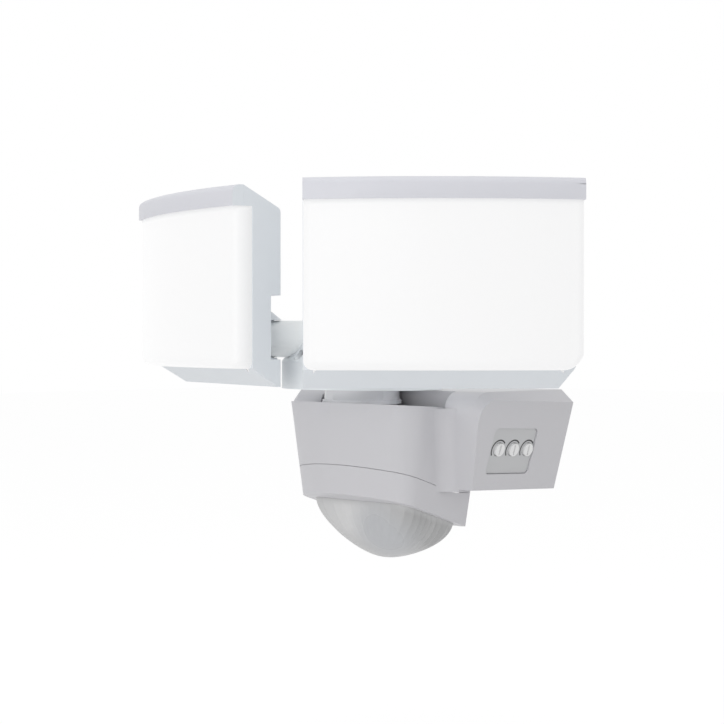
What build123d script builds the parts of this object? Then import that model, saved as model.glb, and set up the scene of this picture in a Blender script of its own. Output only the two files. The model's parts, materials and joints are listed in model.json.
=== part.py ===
from build123d import *

import math
import os

# Twin-head motion sensor security light for a wall.
#
# A wall box carries a passive-infrared sensor below and a short neck on top.  A carrier
# on the neck holds two arms.  A flat lamp head hangs on each arm by a swivel, which pans
# on an upright pin and tilts on a level pin.
#
# Frame: millimetres, +Z up, the wall is the plane Y = 0 and the light stands out along -Y.
# The origin is the middle of the wall plate's back face.

os.makedirs("parts", exist_ok=True)

# ---------------------------------------------------------------- driving dimensions
fit = 0.06              # radial clearance of a pin or spindle that turns
slip = 0.3              # gap between neighbouring moulded pieces that don't touch
wall = 2.4              # moulded wall of the housing and the carrier

# wall box
box_depth = 80.0
box_top = 29.3
box_bottom = -28.5
box_half_bottom = 63.4
box_half_shoulder = 77.8
shoulder_height = 22.0
box_half_top = 69.0
box_front_radius = 11.0
box_back_gap = 0.6      # the box stops just short of the wall
box_rise = 0.04         # top and bottom climb by this share of the way from the wall
front_lean = 0.19       # the front stands back by this share of the way down
front_lean_height = 16.0    # height at which the front is at the full depth

# sensor bowl in front of the box
bowl_half_width = 50.0
bowl_front = 120.5
bowl_side_front = 106.0
bowl_back = 44.0
bowl_corner_radius = 18.0
bowl_back_radius = 6.0
bowl_draft = 7.0
rim_height = 20.0
rim_slope = 0.062       # the rim climbs from the step towards the front
step_set_back = 8.0     # the box rises behind the neck this far behind its front

# tilted seams of the sensor
seam_slope = 0.32
seam_at_front = -10.6   # height of the housing's lower edge where the bowl is deepest
seam_gap = 0.25
seam_round = 40.0       # the seam turns level on this radius
lip_slope = 0.325
lip_at_front = -26.6
lip_thickness = 2.6

# sensor lens
lens_centre_y = -77.3
lens_half_width = 37.7
lens_half_depth = 24.0
lens_corner = 9.1
lens_height = 26.3     # depth of the dome, straight down
lens_lean = 0.06        # its tip stands forward by this share of the depth
lens_fullness = 1.84     # 2 is a round arc; below that the dome is more pointed
lens_skin = 1.3
lens_flange = 1.6
lens_flange_width = 0.7
lens_gap = 0.3
bezel_wall = 1.6
board_pocket = 8.0      # room above the bezel's floor for the lens flange and the board

# neck and carrier
neck_y = -95.0
neck_radius = 21.5
neck_bore = 13.0
neck_flange_radius = 22.6
neck_flange_base = 2.0
neck_flange_thickness = 2.2
neck_foot_step = 1.0    # the foot under the flange is this much slimmer than the neck
spigot_extra = 1.5      # the spigot stands this far out of the housing's roof
nut_width = 5.0         # nut's corner beyond its bore
nut_play = 0.2
nut_thickness = 3.0
carrier_base_height = 30.3
carrier_y = -96.0
carrier_half_width = 52.0
carrier_half_depth = 38.0
carrier_floor = 3.2
carrier_side_height = 12.5
carrier_shoulder_height = 5.0
carrier_shoulder_scale = 0.91
carrier_cone_height = 20.0
carrier_top_scale = 0.72
carrier_top_radius = 4.0
clamp_turn = 24.0       # two recessed screws stand this far to either side of the front
clamp_height = 49.5
clamp_reach = 32.5      # carrier axis to the recess's floor
clamp_recess_radius = 3.15
clamp_boss_radius = 4.6
clamp_boss_length = 9.0
clamp_screw_length = 7.0

# arms, swivels and heads
axis_height = 58.5      # height of the pan eye's middle and of the tilt pins
arm_angle = 45.0        # each arm leaves the carrier half way between front and side
arm_reach = 53.0        # carrier axis to pan pin
arm_radius = 10.4
arm_root = 27.0
arm_socket_play = 4.0   # the arm's socket in the carrier is this much deeper than the arm
saddle_radius = 6.0     # post under each arm's root
saddle_offset = 4.0     # arm root to the post's middle
eye_radius = 8.5
tongue_thickness = 8.0  # flat tongue in the arm's fork
pan_pin_radius = 3.5
pan_cap_radius = 8.1
pan_cap_height = 4.7
pan_cap_tip = 2.4
pan_foot_width = 2.0    # flat head under the fork, beyond the pin's radius
pan_foot_height = 1.0
tilt_pin_radius = 2.0
tilt_head_width = 1.5
tilt_head_height = 1.4
tilt_barrel_half = 8.0
tilt_offset = 13.0      # pan pin to tilt pin
cheek_thickness = 4.0
cheek_radius = 5.5
pan_low = 12.0          # a head pans between these two turns outward from straight ahead
pan_high = 52.0
sweep_steps = 5         # turns at which the fork is cut clear of the tongue
right_pan = 46.0        # how far each head stands outward from straight ahead
left_pan = 18.0

head_width = 148.0
head_height = 111.0
head_depth = 28.7
head_inboard = 31.0     # pan pin to the head's inner end
head_bottom = -26.5     # head's lower edge below the tilt pin
pin_behind_head = 6.0   # pan pin behind the head's back
visor_height = 11.5
visor_depth = 6.5
visor_round = 4.0
face_bow = 9.0          # the front bulges by this much in the middle
panel_front = 11.7      # back shell's front edge behind the visor's front
shell_wall = 2.0
shell_foot = 2.0        # flat strip along the head's lower back edge
back_round = 3.5        # rounding of the upper back edge
back_top = 98.3
bevel_height = 10.2
corner_cut_width = 11.0
corner_cut_height = 18.0
diffuser_set_back = 1.5
diffuser_skin = 1.8
diffuser_corner = 5.0
diffuser_low_round = 2.5
diffuser_inset = 0.4    # the cover is this much shorter than the head at each end
pocket_low = -11.3      # side notch, measured from the tilt pin
pocket_high = 24.1
pocket_depth = 5.8
channel_half = 14.5
channel_depth = 14.5
channel_low = -17.0     # clear of the knuckle at the end of the tilt
board_gap = 1.0         # panel line to the light board's front
board_thickness = 1.6
spreader_thickness = 1.5
led_size = 2.8
led_height = 0.8
led_columns = 12
led_end_share = 0.3     # bare share of a pitch at the board's ends
led_rows = 4
led_row_pitch = 9.0
board_margin = 10.0     # head end to board end
board_height = 40.0
board_low = 29.0        # board's lower edge above the tilt pin

# controls
control_y = -45.5
control_z = -4.8
control_width = 37.0
control_height = 27.0
control_recess = 1.4
control_plate = 1.6
control_play = 0.2      # between the plate and its opening, all round
control_corner = 3.0
control_board_margin = 3.0  # the board reaches this far beyond the opening
knob_shift = 1.3        # the dials' middle lies this far towards the wall
knob_lift = 0.9         # and this far up
knob_pitch = 12.3
knob_radius = 3.7
knob_length = 3.0
spindle_radius = 1.5
pot_size = 9.5
pot_depth = 5.0

# fasteners and wall fixing
screw_radius = 1.6
screw_head_radius = 3.0
screw_head_height = 2.0
cross_share = 1.3       # cross recess: its span against the head's radius
cross_width = 0.7
cross_depth = 0.9
carrier_screw_circle = 17.0
carrier_screw_count = 4
carrier_screw_length = 7.0
housing_screw_length = 8.0
head_screw_length = 9.0
head_screw_inset = 5.0
head_screw_sink = 0.2    # screw heads lie this far below the head's back
head_screw_margin = 12.0
boss_radius = 4.4
wall_screw_spacing = 90.0
wall_slot_length = 9.0
wall_slot_radius = 2.3
plate_thickness = 2.5
ledge_thickness = 3.0
ledge_depth = 11.0
ledge_overhang = 22.0   # the ledge is this much longer than the screws' spacing
post_inset = 10.0       # posts' pattern is this much smaller than the driver board
post_radius = 2.6
board_y = -34.0
board_z = 1.0
board_width_driver = 104.0
board_height_driver = 42.0
cable_bore = 3.6
cable_z = 12.0
grommet_wall = 2.4
grommet_lip = 2.0
terminal_width = 31.0
terminal_depth = 14.0
terminal_height = 16.0
terminal_x = 22.0
terminal_z = -2.0
terminal_pitch = 9.5
terminal_row_pitch = 8.0
terminal_hole = 2.2
terminal_hole_depth = 5.0
pir_radius = 4.6
pir_height = 4.5
pir_window_radius = 3.9
pir_window_height = 1.5
control_board_height = 18.0
knob_slot_width = 1.2
knob_slot_depth = 1.2
knob_slot_margin = 0.8
spindle_length = 3.0
fixing_spacing = 68.0
fixing_depth = 8.5

# ---------------------------------------------------------------- derived places
bowl_outer_depth = 90.0
step_front = box_depth - step_set_back
arm_x = arm_reach * math.sin(math.radians(arm_angle))
arm_y = carrier_y - arm_reach * math.cos(math.radians(arm_angle))
fork_sweep = [
    pan_low - arm_angle + (pan_high - pan_low) * step / (sweep_steps - 1)
    for step in range(sweep_steps)
]
head_back = -pin_behind_head
head_front = head_back - head_depth
head_top = head_bottom + head_height
head_inner = -head_inboard
head_outer = head_inner + head_width
head_middle = (head_inner + head_outer) / 2
board_width = head_width - 2 * board_margin
led_pitch = board_width / (led_columns + led_end_share)
panel_y = head_front + panel_front
seam_y = head_front + visor_depth
visor_low = head_top - visor_height
channel_front = head_back - channel_depth
carrier_shell_base = carrier_base_height + carrier_floor
carrier_shoulder = carrier_shell_base + carrier_side_height
carrier_cone_base = carrier_shoulder + carrier_shoulder_height
carrier_top = carrier_cone_base + carrier_cone_height
side_rise = shoulder_height - box_bottom
side_run = box_half_shoulder - box_half_bottom
side_length = math.hypot(side_rise, side_run)
control_x = box_half_bottom + side_run * (control_z - box_bottom) / side_rise

# the box's side climbs away from the wall like its top and bottom
control_plane = Plane(
    origin=(control_x, control_y, control_z),
    x_dir=(0, 1, -box_rise),
    z_dir=(side_rise, -side_run * box_rise, -side_run),
)
knob_plane = control_plane.shift_origin(
    control_plane.from_local_coords(Vector(knob_shift, knob_lift, 0))
)


def tilted_plane(height_at_front, slope, lift=0.0):
    """Plane that drops towards the wall by slope, raised by lift; its normal points up."""
    return Plane(
        origin=(0, -bowl_front, height_at_front + lift),
        x_dir=(1, 0, 0),
        z_dir=(0, slope, 1),
    )


def above_seam(gap=0.0):
    """Everything above the seam, which slopes down to the box's underside and runs on level."""
    knee = -bowl_front + (seam_at_front - box_bottom) / seam_slope
    reach = bowl_front + bowl_outer_depth
    with BuildPart() as region:
        with BuildSketch(Plane.YZ) as side_view:
            with BuildLine():
                Polyline(
                    (-reach, seam_at_front + seam_slope * (reach - bowl_front) - gap),
                    (knee, box_bottom - gap),
                    (reach, box_bottom - gap),
                    (reach, reach),
                    (-reach, reach),
                    close=True,
                )
            make_face()
            bend = side_view.vertices().sort_by_distance((knee, box_bottom - gap, 0))[0]
            fillet(bend, seam_round)
        extrude(amount=reach, both=True)
    return region.part


def height_on_lip(y):
    """Height of the sensor's lower rim at distance y from the wall plane."""
    return lip_at_front - lip_slope * (y + bowl_front)


lens_plane = Plane(
    origin=(0, lens_centre_y, height_on_lip(lens_centre_y)),
    x_dir=(1, 0, 0),
    z_dir=(0, -lip_slope, -1),
)


def keep(piece, name):
    """Label a finished piece and write it."""
    piece.label = name
    export_step(piece, f"parts/{name}.step")


def bowl_outline(inset):
    """Plan of the sensor bowl: a shallow arc in front, straight sides, rounded corners."""
    half = bowl_half_width - inset
    with BuildSketch(Plane.XY) as outline:
        with BuildLine():
            back_left = (-half, bowl_back + inset)
            side_left = (-half, bowl_side_front - inset)
            side_right = (half, bowl_side_front - inset)
            back_right = (half, bowl_back + inset)
            Line(back_left, side_left)
            ThreePointArc(side_left, (0, bowl_front - inset), side_right)
            Line(side_right, back_right)
            Line(back_right, back_left)
        make_face()
        front = outline.vertices().group_by(Axis.Y)[-1]
        fillet(front, bowl_corner_radius - inset)
        rear = outline.vertices().group_by(Axis.Y)[0]
        fillet(rear, bowl_back_radius - inset)
    return outline.sketch


def bowl_solid(inset, top):
    """Tapering bowl, drawn downwards from a height; the sketch's y runs away from the wall."""
    shrink = (rim_height - top) * math.tan(math.radians(bowl_draft))
    plane = Plane(origin=(0, 0, top), x_dir=(1, 0, 0), z_dir=(0, 0, -1))
    with BuildPart() as bowl:
        with BuildSketch(plane):
            add(bowl_outline(inset + shrink))
        extrude(amount=bowl_outer_depth, taper=bowl_draft)
    return bowl.part


def box_outline(inset):
    """Front view of the wall box: narrow below, flared to the shoulders, bevelled on top."""
    slant = inset * side_length / side_rise
    with BuildSketch(Plane.XY) as outline:
        with BuildLine():
            low = box_bottom + inset
            high = box_top - inset
            low_half = box_half_bottom + side_run * inset / side_rise - slant
            shoulder = box_half_shoulder - slant
            Polyline(
                (-low_half, low),
                (low_half, low),
                (shoulder, shoulder_height - inset / 2),
                (box_half_top - inset / 2, high),
                (inset / 2 - box_half_top, high),
                (-shoulder, shoulder_height - inset / 2),
                close=True,
            )
        make_face()
    return outline.sketch


def front_plane(inset=0.0):
    """Leaning front of the wall box, set back by inset; its normal points away from the wall."""
    return Plane(
        origin=(0, inset - box_depth, front_lean_height),
        x_dir=(1, 0, 0),
        z_dir=(0, -1, -front_lean),
    )


def box_solid(inset):
    """Wall box with its top edges rounded in front, shrunk all round by inset."""
    with BuildPart() as box:
        with BuildSketch(Plane.XZ.offset(box_back_gap)):
            add(box_outline(inset))
        extrude(amount=2 * box_depth, dir=(0, -1, box_rise))
        split(bisect_by=front_plane(inset), keep=Keep.BOTTOM)
        split(bisect_by=Plane.XY.offset(box_top - inset), keep=Keep.BOTTOM)
        front_edges = box.faces().sort_by(Axis.Y)[0].edges()
        fillet(
            front_edges.filter_by(lambda e: e.center().Z > shoulder_height - inset),
            box_front_radius - inset,
        )
    return box.part


def rimmed_bowl():
    """Outside of the sensor bowl, cut off along its sloping rim."""
    rim_plane = Plane(
        origin=(0, -step_front, rim_height), x_dir=(1, 0, 0), z_dir=(0, rim_slope, 1)
    )
    with BuildPart() as bowl:
        add(bowl_solid(0, rim_height + rim_slope * (bowl_front - step_front)))
        split(bisect_by=rim_plane, keep=Keep.BOTTOM)
    return bowl.part


def screw_shape(plane, length, head_radius=screw_head_radius):
    """Pan-head screw: its head sits on the plane and its shank runs against the normal."""
    with BuildPart() as screw:
        with BuildSketch(plane):
            Circle(head_radius)
        extrude(amount=screw_head_height)
        with BuildSketch(plane):
            Circle(screw_radius)
        extrude(amount=-length)
        top = screw.faces().sort_by(Axis((0, 0, 0), tuple(plane.z_dir)))[-1]
        with BuildSketch(Plane(origin=top.center(), x_dir=plane.x_dir, z_dir=plane.z_dir)):
            Rectangle(head_radius * cross_share, cross_width)
            Rectangle(cross_width, head_radius * cross_share)
        extrude(amount=-cross_depth, mode=Mode.SUBTRACT)
    return screw.part


# ================================================================ housing
with BuildPart() as housing_shell:
    add(box_solid(0))
    with Locations((0, -box_depth, box_top)):
        Box(
            2 * bowl_half_width,
            2 * step_set_back,
            2 * (box_top - rim_height),
            mode=Mode.SUBTRACT,
        )
    add(rimmed_bowl())
    add(above_seam(), mode=Mode.INTERSECT)
    add(box_solid(wall), mode=Mode.SUBTRACT)
    with BuildSketch(Plane.XZ):
        add(box_outline(wall))
    extrude(amount=step_front / 2, mode=Mode.SUBTRACT)
    with Locations((0, wall / 2 - step_front, (box_top + rim_height) / 2)):
        Box(2 * bowl_half_width, wall, box_top - rim_height)
    with BuildSketch(Plane.XY.offset(rim_height)):
        with Locations((0, neck_y)):
            Circle(neck_flange_radius + slip)
    extrude(amount=step_set_back, mode=Mode.SUBTRACT)
    add(bowl_solid(wall, rim_height - wall), mode=Mode.SUBTRACT)
    with BuildSketch(Plane.XY.offset(rim_height)):
        with Locations((0, neck_y)):
            Circle(neck_bore)
    extrude(amount=-2 * wall, mode=Mode.SUBTRACT)
    with BuildSketch(control_plane.offset(wall)):
        RectangleRounded(control_width, control_height, control_corner)
    extrude(amount=-3 * wall, mode=Mode.SUBTRACT)
    with BuildSketch(Plane.XY.offset(box_bottom)):
        with Locations((0, -fixing_depth)):
            with GridLocations(fixing_spacing, 0, 2, 1):
                Circle(screw_radius + slip / 3)
    extrude(amount=2 * wall, mode=Mode.SUBTRACT)
keep(housing_shell.part, "housing_shell")

# ================================================================ wall side
with BuildPart() as wall_plate:
    with BuildSketch(Plane.XZ):
        add(box_outline(wall + slip))
        with GridLocations(wall_screw_spacing, 0, 2, 1):
            SlotOverall(wall_slot_length, 2 * wall_slot_radius, mode=Mode.SUBTRACT)
        with Locations((0, cable_z)):
            Circle(cable_bore + grommet_wall, mode=Mode.SUBTRACT)
    extrude(amount=plate_thickness)
    ledge_z = box_bottom + wall + 2 * slip + ledge_thickness / 2
    with Locations((0, -plate_thickness - ledge_depth / 2, ledge_z)):
        Box(fixing_spacing + ledge_overhang, ledge_depth, ledge_thickness)
    with Locations((0, -fixing_depth, ledge_z)):
        with GridLocations(fixing_spacing, 0, 2, 1):
            Cylinder(screw_radius, ledge_thickness, mode=Mode.SUBTRACT)
    post_length = -board_y - board_thickness / 2 - plate_thickness
    with BuildSketch(Plane.XZ.offset(plate_thickness)):
        with Locations((0, board_z)):
            with GridLocations(board_width_driver - post_inset, board_height_driver - post_inset, 2, 2):
                Circle(post_radius)
    extrude(amount=post_length)
keep(wall_plate.part, "wall_plate")

with BuildPart() as cable_grommet:
    with BuildSketch(Plane.XZ):
        with Locations((0, cable_z)):
            Circle(cable_bore + grommet_wall)
            Circle(cable_bore, mode=Mode.SUBTRACT)
    extrude(amount=plate_thickness)
    with BuildSketch(Plane.XZ.offset(plate_thickness)):
        with Locations((0, cable_z)):
            Circle(cable_bore + grommet_wall + grommet_lip)
            Circle(cable_bore, mode=Mode.SUBTRACT)
    extrude(amount=grommet_lip)
keep(cable_grommet.part, "cable_grommet")

with BuildPart() as terminal_block:
    with Locations((terminal_x, -plate_thickness - terminal_depth / 2, terminal_z)):
        Box(terminal_width, terminal_depth, terminal_height)
    block_front = terminal_block.faces().sort_by(Axis.Y)[0]
    with BuildSketch(Plane(origin=block_front.center(), x_dir=(1, 0, 0), z_dir=(0, -1, 0))):
        with GridLocations(terminal_pitch, terminal_row_pitch, 3, 2):
            Circle(terminal_hole)
    extrude(amount=-terminal_hole_depth, mode=Mode.SUBTRACT)
keep(terminal_block.part, "terminal_block")

# the box's underside climbs away from the wall, so the heads bear on their wall side
bearing_height = box_bottom + box_rise * (fixing_depth - screw_head_radius)
with BuildPart() as housing_screws:
    for side in (-1, 1):
        spot = Plane(
            origin=(side * fixing_spacing / 2, -fixing_depth, bearing_height),
            x_dir=(1, 0, 0),
            z_dir=(0, 0, -1),
        )
        add(screw_shape(spot, housing_screw_length))
keep(housing_screws.part, "housing_screws")

# driver electronics, on a board that stands in the box
with BuildPart() as driver_board:
    with Locations((0, board_y, board_z)):
        Box(board_width_driver, board_thickness, board_height_driver)
keep(driver_board.part, "driver_board")

# x, z, width, depth and height of the blocks; x, z, radius and length of the cans
driver_blocks = ((-30, 6, 22, 16, 20), (4, -12, 30, 10, 8))
driver_cans = ((0, 8, 8, 16), (22, 8, 5, 12))
with BuildPart() as driver_parts:
    parts_y = board_y - board_thickness / 2
    for x, z, width, depth, height in driver_blocks:
        with Locations((x, parts_y - depth / 2, z)):
            Box(width, depth, height)
    for x, z, radius, length in driver_cans:
        with BuildSketch(Plane.XZ.offset(-parts_y)):
            with Locations((x, z)):
                Circle(radius)
        extrude(amount=length)
keep(driver_parts.part, "driver_parts")

# ================================================================ sensor
def lens_size(share=1.0, spare=0.0):
    """Width, depth and corner radius of the lens outline, scaled by share and widened by spare."""
    return (
        2 * (lens_half_width * share + spare),
        2 * (lens_half_depth * share + spare),
        lens_corner * share + spare,
    )


def bezel_hollow():
    """Inside of the sensor bezel, above its floor."""
    with BuildPart() as hollow:
        add(bowl_solid(bezel_wall, rim_height))
        split(bisect_by=tilted_plane(lip_at_front, lip_slope, lip_thickness), keep=Keep.TOP)
    return hollow.part


with BuildPart() as sensor_bezel:
    add(bowl_solid(0, rim_height))
    add(above_seam(seam_gap), mode=Mode.SUBTRACT)
    split(bisect_by=tilted_plane(lip_at_front, lip_slope), keep=Keep.TOP)
    add(bezel_hollow(), mode=Mode.SUBTRACT)
    with BuildSketch(lens_plane):
        RectangleRounded(*lens_size(spare=lens_gap))
    extrude(amount=2 * lens_height, both=True, mode=Mode.SUBTRACT)
    with BuildSketch(lens_plane.offset(-lip_thickness)):
        RectangleRounded(*lens_size(spare=lens_flange_width + fit))
    extrude(amount=-board_pocket, mode=Mode.SUBTRACT)
keep(sensor_bezel.part, "sensor_bezel")


def dome(height, spare):
    """Domed cap below the lens plane, as a stack of rounded rectangles with a small flat tip."""
    with BuildPart() as cap:
        for turn in (0, 18, 36, 54, 70, 80):
            angle = math.radians(turn)
            share = math.cos(angle) ** (2 / lens_fullness)
            depth = height * math.sin(angle) ** (2 / lens_fullness)
            with BuildSketch(
                Plane(
                    origin=lens_plane.origin + Vector(0, -lens_lean, -1) * depth,
                    x_dir=lens_plane.x_dir,
                    z_dir=lens_plane.z_dir,
                )
            ):
                RectangleRounded(*lens_size(share, spare * share))
        loft()
    return cap.part


lens_seat = lip_thickness + lens_gap
sensor_back = lens_seat + lens_flange
with BuildPart() as sensor_lens:
    add(dome(lens_height, 0))
    with BuildSketch(lens_plane.offset(-lens_seat)):
        RectangleRounded(*lens_size())
    extrude(amount=lens_seat)
    with BuildSketch(lens_plane.offset(-sensor_back)):
        RectangleRounded(*lens_size(spare=lens_flange_width))
    extrude(amount=lens_flange)
    add(dome(lens_height - lens_skin, -lens_skin), mode=Mode.SUBTRACT)
    with BuildSketch(lens_plane.offset(-sensor_back)):
        RectangleRounded(*lens_size(spare=-lens_skin))
    extrude(amount=sensor_back, mode=Mode.SUBTRACT)
keep(sensor_lens.part, "sensor_lens")

with BuildPart() as sensor_board:
    with BuildSketch(lens_plane.offset(-sensor_back)):
        RectangleRounded(*lens_size(spare=lens_flange_width))
    extrude(amount=-board_thickness)
keep(sensor_board.part, "sensor_board")

with BuildPart() as pir_sensor:
    with BuildSketch(lens_plane.offset(-sensor_back)):
        Circle(pir_radius)
    extrude(amount=pir_height)
    with BuildSketch(lens_plane.offset(-sensor_back)):
        Circle(pir_window_radius)
    extrude(amount=pir_height + pir_window_height)
keep(pir_sensor.part, "pir_sensor")

# ================================================================ controls
with BuildPart() as control_panel:
    with BuildSketch(control_plane.offset(-control_recess)):
        RectangleRounded(
            control_width - 2 * control_play,
            control_height - 2 * control_play,
            control_corner - control_play,
        )
    extrude(amount=-control_plate)
    with BuildSketch(knob_plane.offset(-control_recess)):
        with GridLocations(knob_pitch, 0, 3, 1):
            Circle(knob_radius + slip)
    extrude(amount=-control_plate, mode=Mode.SUBTRACT)
keep(control_panel.part, "control_panel")

knob_back = control_recess + control_plate
for index, title in enumerate(("time_knob", "sensitivity_knob", "lux_knob")):
    spot = knob_plane.shift_origin(
        knob_plane.from_local_coords(Vector((index - 1) * knob_pitch, 0, 0))
    )
    with BuildPart() as knob:
        with BuildSketch(spot.offset(-knob_back)):
            Circle(knob_radius)
        extrude(amount=knob_length)
        with BuildSketch(spot.offset(knob_length - knob_back)):
            Rectangle(knob_slot_width, 2 * (knob_radius - knob_slot_margin))
        extrude(amount=-knob_slot_depth, mode=Mode.SUBTRACT)
        with BuildSketch(spot.offset(-knob_back)):
            Circle(spindle_radius)
        extrude(amount=-spindle_length)
    keep(knob.part, title)

with BuildPart() as trim_pots:
    with BuildSketch(knob_plane.offset(-knob_back - slip)):
        with GridLocations(knob_pitch, 0, 3, 1):
            Rectangle(pot_size, pot_size)
            Circle(spindle_radius + fit, mode=Mode.SUBTRACT)
    extrude(amount=-pot_depth)
keep(trim_pots.part, "trim_pots")

with BuildPart() as control_board:
    with BuildSketch(control_plane.offset(-knob_back - slip - pot_depth)):
        Rectangle(control_width + 2 * control_board_margin, control_board_height)
    extrude(amount=-board_thickness)
keep(control_board.part, "control_board")

# ================================================================ neck and carrier
with BuildPart() as neck:
    with BuildSketch(Plane.XY.offset(rim_height)):
        with Locations((0, neck_y)):
            Circle(neck_radius - neck_foot_step)
    extrude(amount=neck_flange_base)
    with BuildSketch(Plane.XY.offset(rim_height + neck_flange_base)):
        with Locations((0, neck_y)):
            Circle(neck_flange_radius)
    extrude(amount=neck_flange_thickness)
    with BuildSketch(Plane.XY.offset(rim_height + neck_flange_base + neck_flange_thickness)):
        with Locations((0, neck_y)):
            Circle(neck_radius)
    extrude(amount=carrier_base_height - rim_height - neck_flange_base - neck_flange_thickness)
    spigot_low = rim_height - wall - spigot_extra
    with BuildSketch(Plane.XY.offset(spigot_low)):
        with Locations((0, neck_y)):
            Circle(neck_bore)
    extrude(amount=rim_height + neck_flange_base - spigot_low)
    with BuildSketch(Plane.XY.offset(spigot_low)):
        with Locations((0, neck_y)):
            Circle(neck_bore - wall)
    extrude(amount=carrier_base_height - spigot_low, mode=Mode.SUBTRACT)
    with BuildSketch(Plane.XY.offset(carrier_base_height)):
        with Locations((0, neck_y)):
            with PolarLocations(carrier_screw_circle, carrier_screw_count):
                Circle(screw_radius)
    extrude(amount=-carrier_screw_length, mode=Mode.SUBTRACT)
keep(neck.part, "neck")

with BuildPart() as neck_nut:
    with BuildSketch(Plane.XY.offset(rim_height - wall)):
        with Locations((0, neck_y)):
            RegularPolygon(neck_bore + nut_width, 6)
            Circle(neck_bore + nut_play, mode=Mode.SUBTRACT)
    extrude(amount=-nut_thickness)
keep(neck_nut.part, "neck_nut")

carrier_levels = (
    (carrier_shell_base, 1.0),
    (carrier_shoulder, 1.0),
    (carrier_cone_base, carrier_shoulder_scale),
    (carrier_top, carrier_top_scale),
)


def carrier_solid(inset):
    """Oval block with upright sides, a bevelled shoulder and a steep cone on top."""
    with BuildPart() as block:
        for lower, upper in zip(carrier_levels, carrier_levels[1:]):
            for height, share in (lower, upper):
                lowered = inset if height == carrier_top else 0
                with BuildSketch(Plane.XY.offset(height - lowered)):
                    with Locations((0, carrier_y)):
                        Ellipse(
                            carrier_half_width * share - inset,
                            carrier_half_depth * share - inset,
                        )
            loft(ruled=True)
    return block.part


def arm_direction(side):
    """Unit vector from the carrier's axis along one arm; side is 1 for right, -1 for left."""
    turn = math.radians(arm_angle)
    return Vector(side * math.sin(turn), -math.cos(turn), 0)


def arm_plane(side, distance):
    """Plane square to an arm, at a distance from the carrier's axis."""
    axis = arm_direction(side)
    return Plane(
        origin=Vector(0, carrier_y, axis_height) + axis * distance,
        x_dir=(0, 0, 1),
        z_dir=tuple(axis),
    )


def clamp_plane(side):
    """Floor of one screw recess in the carrier's front, facing outward."""
    turn = math.radians(side * clamp_turn)
    outward = Vector(math.sin(turn), -math.cos(turn), 0)
    return Plane(
        origin=Vector(0, carrier_y, clamp_height) + outward * clamp_reach,
        x_dir=(0, 0, 1),
        z_dir=tuple(outward),
    )


def carrier_hollow():
    """Inside of the carrier's shell, which leaves a boss behind each screw recess."""
    with BuildPart() as hollow:
        add(carrier_solid(wall))
        for side in (-1, 1):
            with BuildSketch(clamp_plane(side).offset(-clamp_boss_length)):
                Circle(clamp_boss_radius)
            extrude(amount=clamp_reach, mode=Mode.SUBTRACT)
    return hollow.part


with BuildPart() as carrier_shell:
    add(carrier_solid(0))
    crown = carrier_shell.faces().sort_by(Axis.Z)[-1]
    fillet(crown.edges(), carrier_top_radius)
    add(carrier_hollow(), mode=Mode.SUBTRACT)
    for side in (-1, 1):
        with BuildSketch(clamp_plane(side)):
            Circle(clamp_recess_radius)
        extrude(amount=clamp_boss_length, mode=Mode.SUBTRACT)
        with BuildSketch(clamp_plane(side)):
            Circle(screw_radius)
        extrude(amount=-clamp_screw_length, mode=Mode.SUBTRACT)
    for side in (-1, 1):
        with BuildSketch(arm_plane(side, arm_root - arm_socket_play)):
            Circle(arm_radius + slip / 3)
        extrude(amount=arm_reach, mode=Mode.SUBTRACT)
keep(carrier_shell.part, "carrier_shell")

with BuildPart() as carrier_base:
    with BuildSketch(Plane.XY.offset(carrier_base_height)):
        with Locations((0, carrier_y)):
            Ellipse(carrier_half_width, carrier_half_depth)
        with Locations((0, neck_y)):
            Circle(neck_bore - wall, mode=Mode.SUBTRACT)
            with PolarLocations(carrier_screw_circle, carrier_screw_count):
                Circle(screw_radius, mode=Mode.SUBTRACT)
    extrude(amount=carrier_floor)
    for side in (-1, 1):
        foot = arm_direction(side) * (arm_root + saddle_offset) + Vector(0, carrier_y, 0)
        with BuildSketch(Plane.XY.offset(carrier_shell_base)):
            with Locations((foot.X, foot.Y)):
                Circle(saddle_radius)
        extrude(amount=axis_height - arm_radius - carrier_shell_base)
keep(carrier_base.part, "carrier_base")

with BuildPart() as clamp_screws:
    for side in (-1, 1):
        add(screw_shape(clamp_plane(side), clamp_screw_length))
keep(clamp_screws.part, "clamp_screws")

with BuildPart() as carrier_screws:
    for place in PolarLocations(carrier_screw_circle, carrier_screw_count):
        spot = Plane(
            origin=(place.position.X, neck_y + place.position.Y, carrier_shell_base),
            x_dir=(1, 0, 0),
            z_dir=(0, 0, 1),
        )
        add(screw_shape(spot, carrier_screw_length))
keep(carrier_screws.part, "carrier_screws")


# ================================================================ arms, swivels and heads
def seat(piece, side, turn):
    """Put a piece in its place, turned outward.

    It is drawn about the right pan pin, x outward and y to the back.
    """
    if side == "right":
        return piece.moved(Location((arm_x, arm_y, axis_height), (0, 0, turn)))
    mirrored = mirror(piece, about=Plane.YZ)
    return mirrored.moved(Location((-arm_x, arm_y, axis_height), (0, 0, -turn)))


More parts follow.
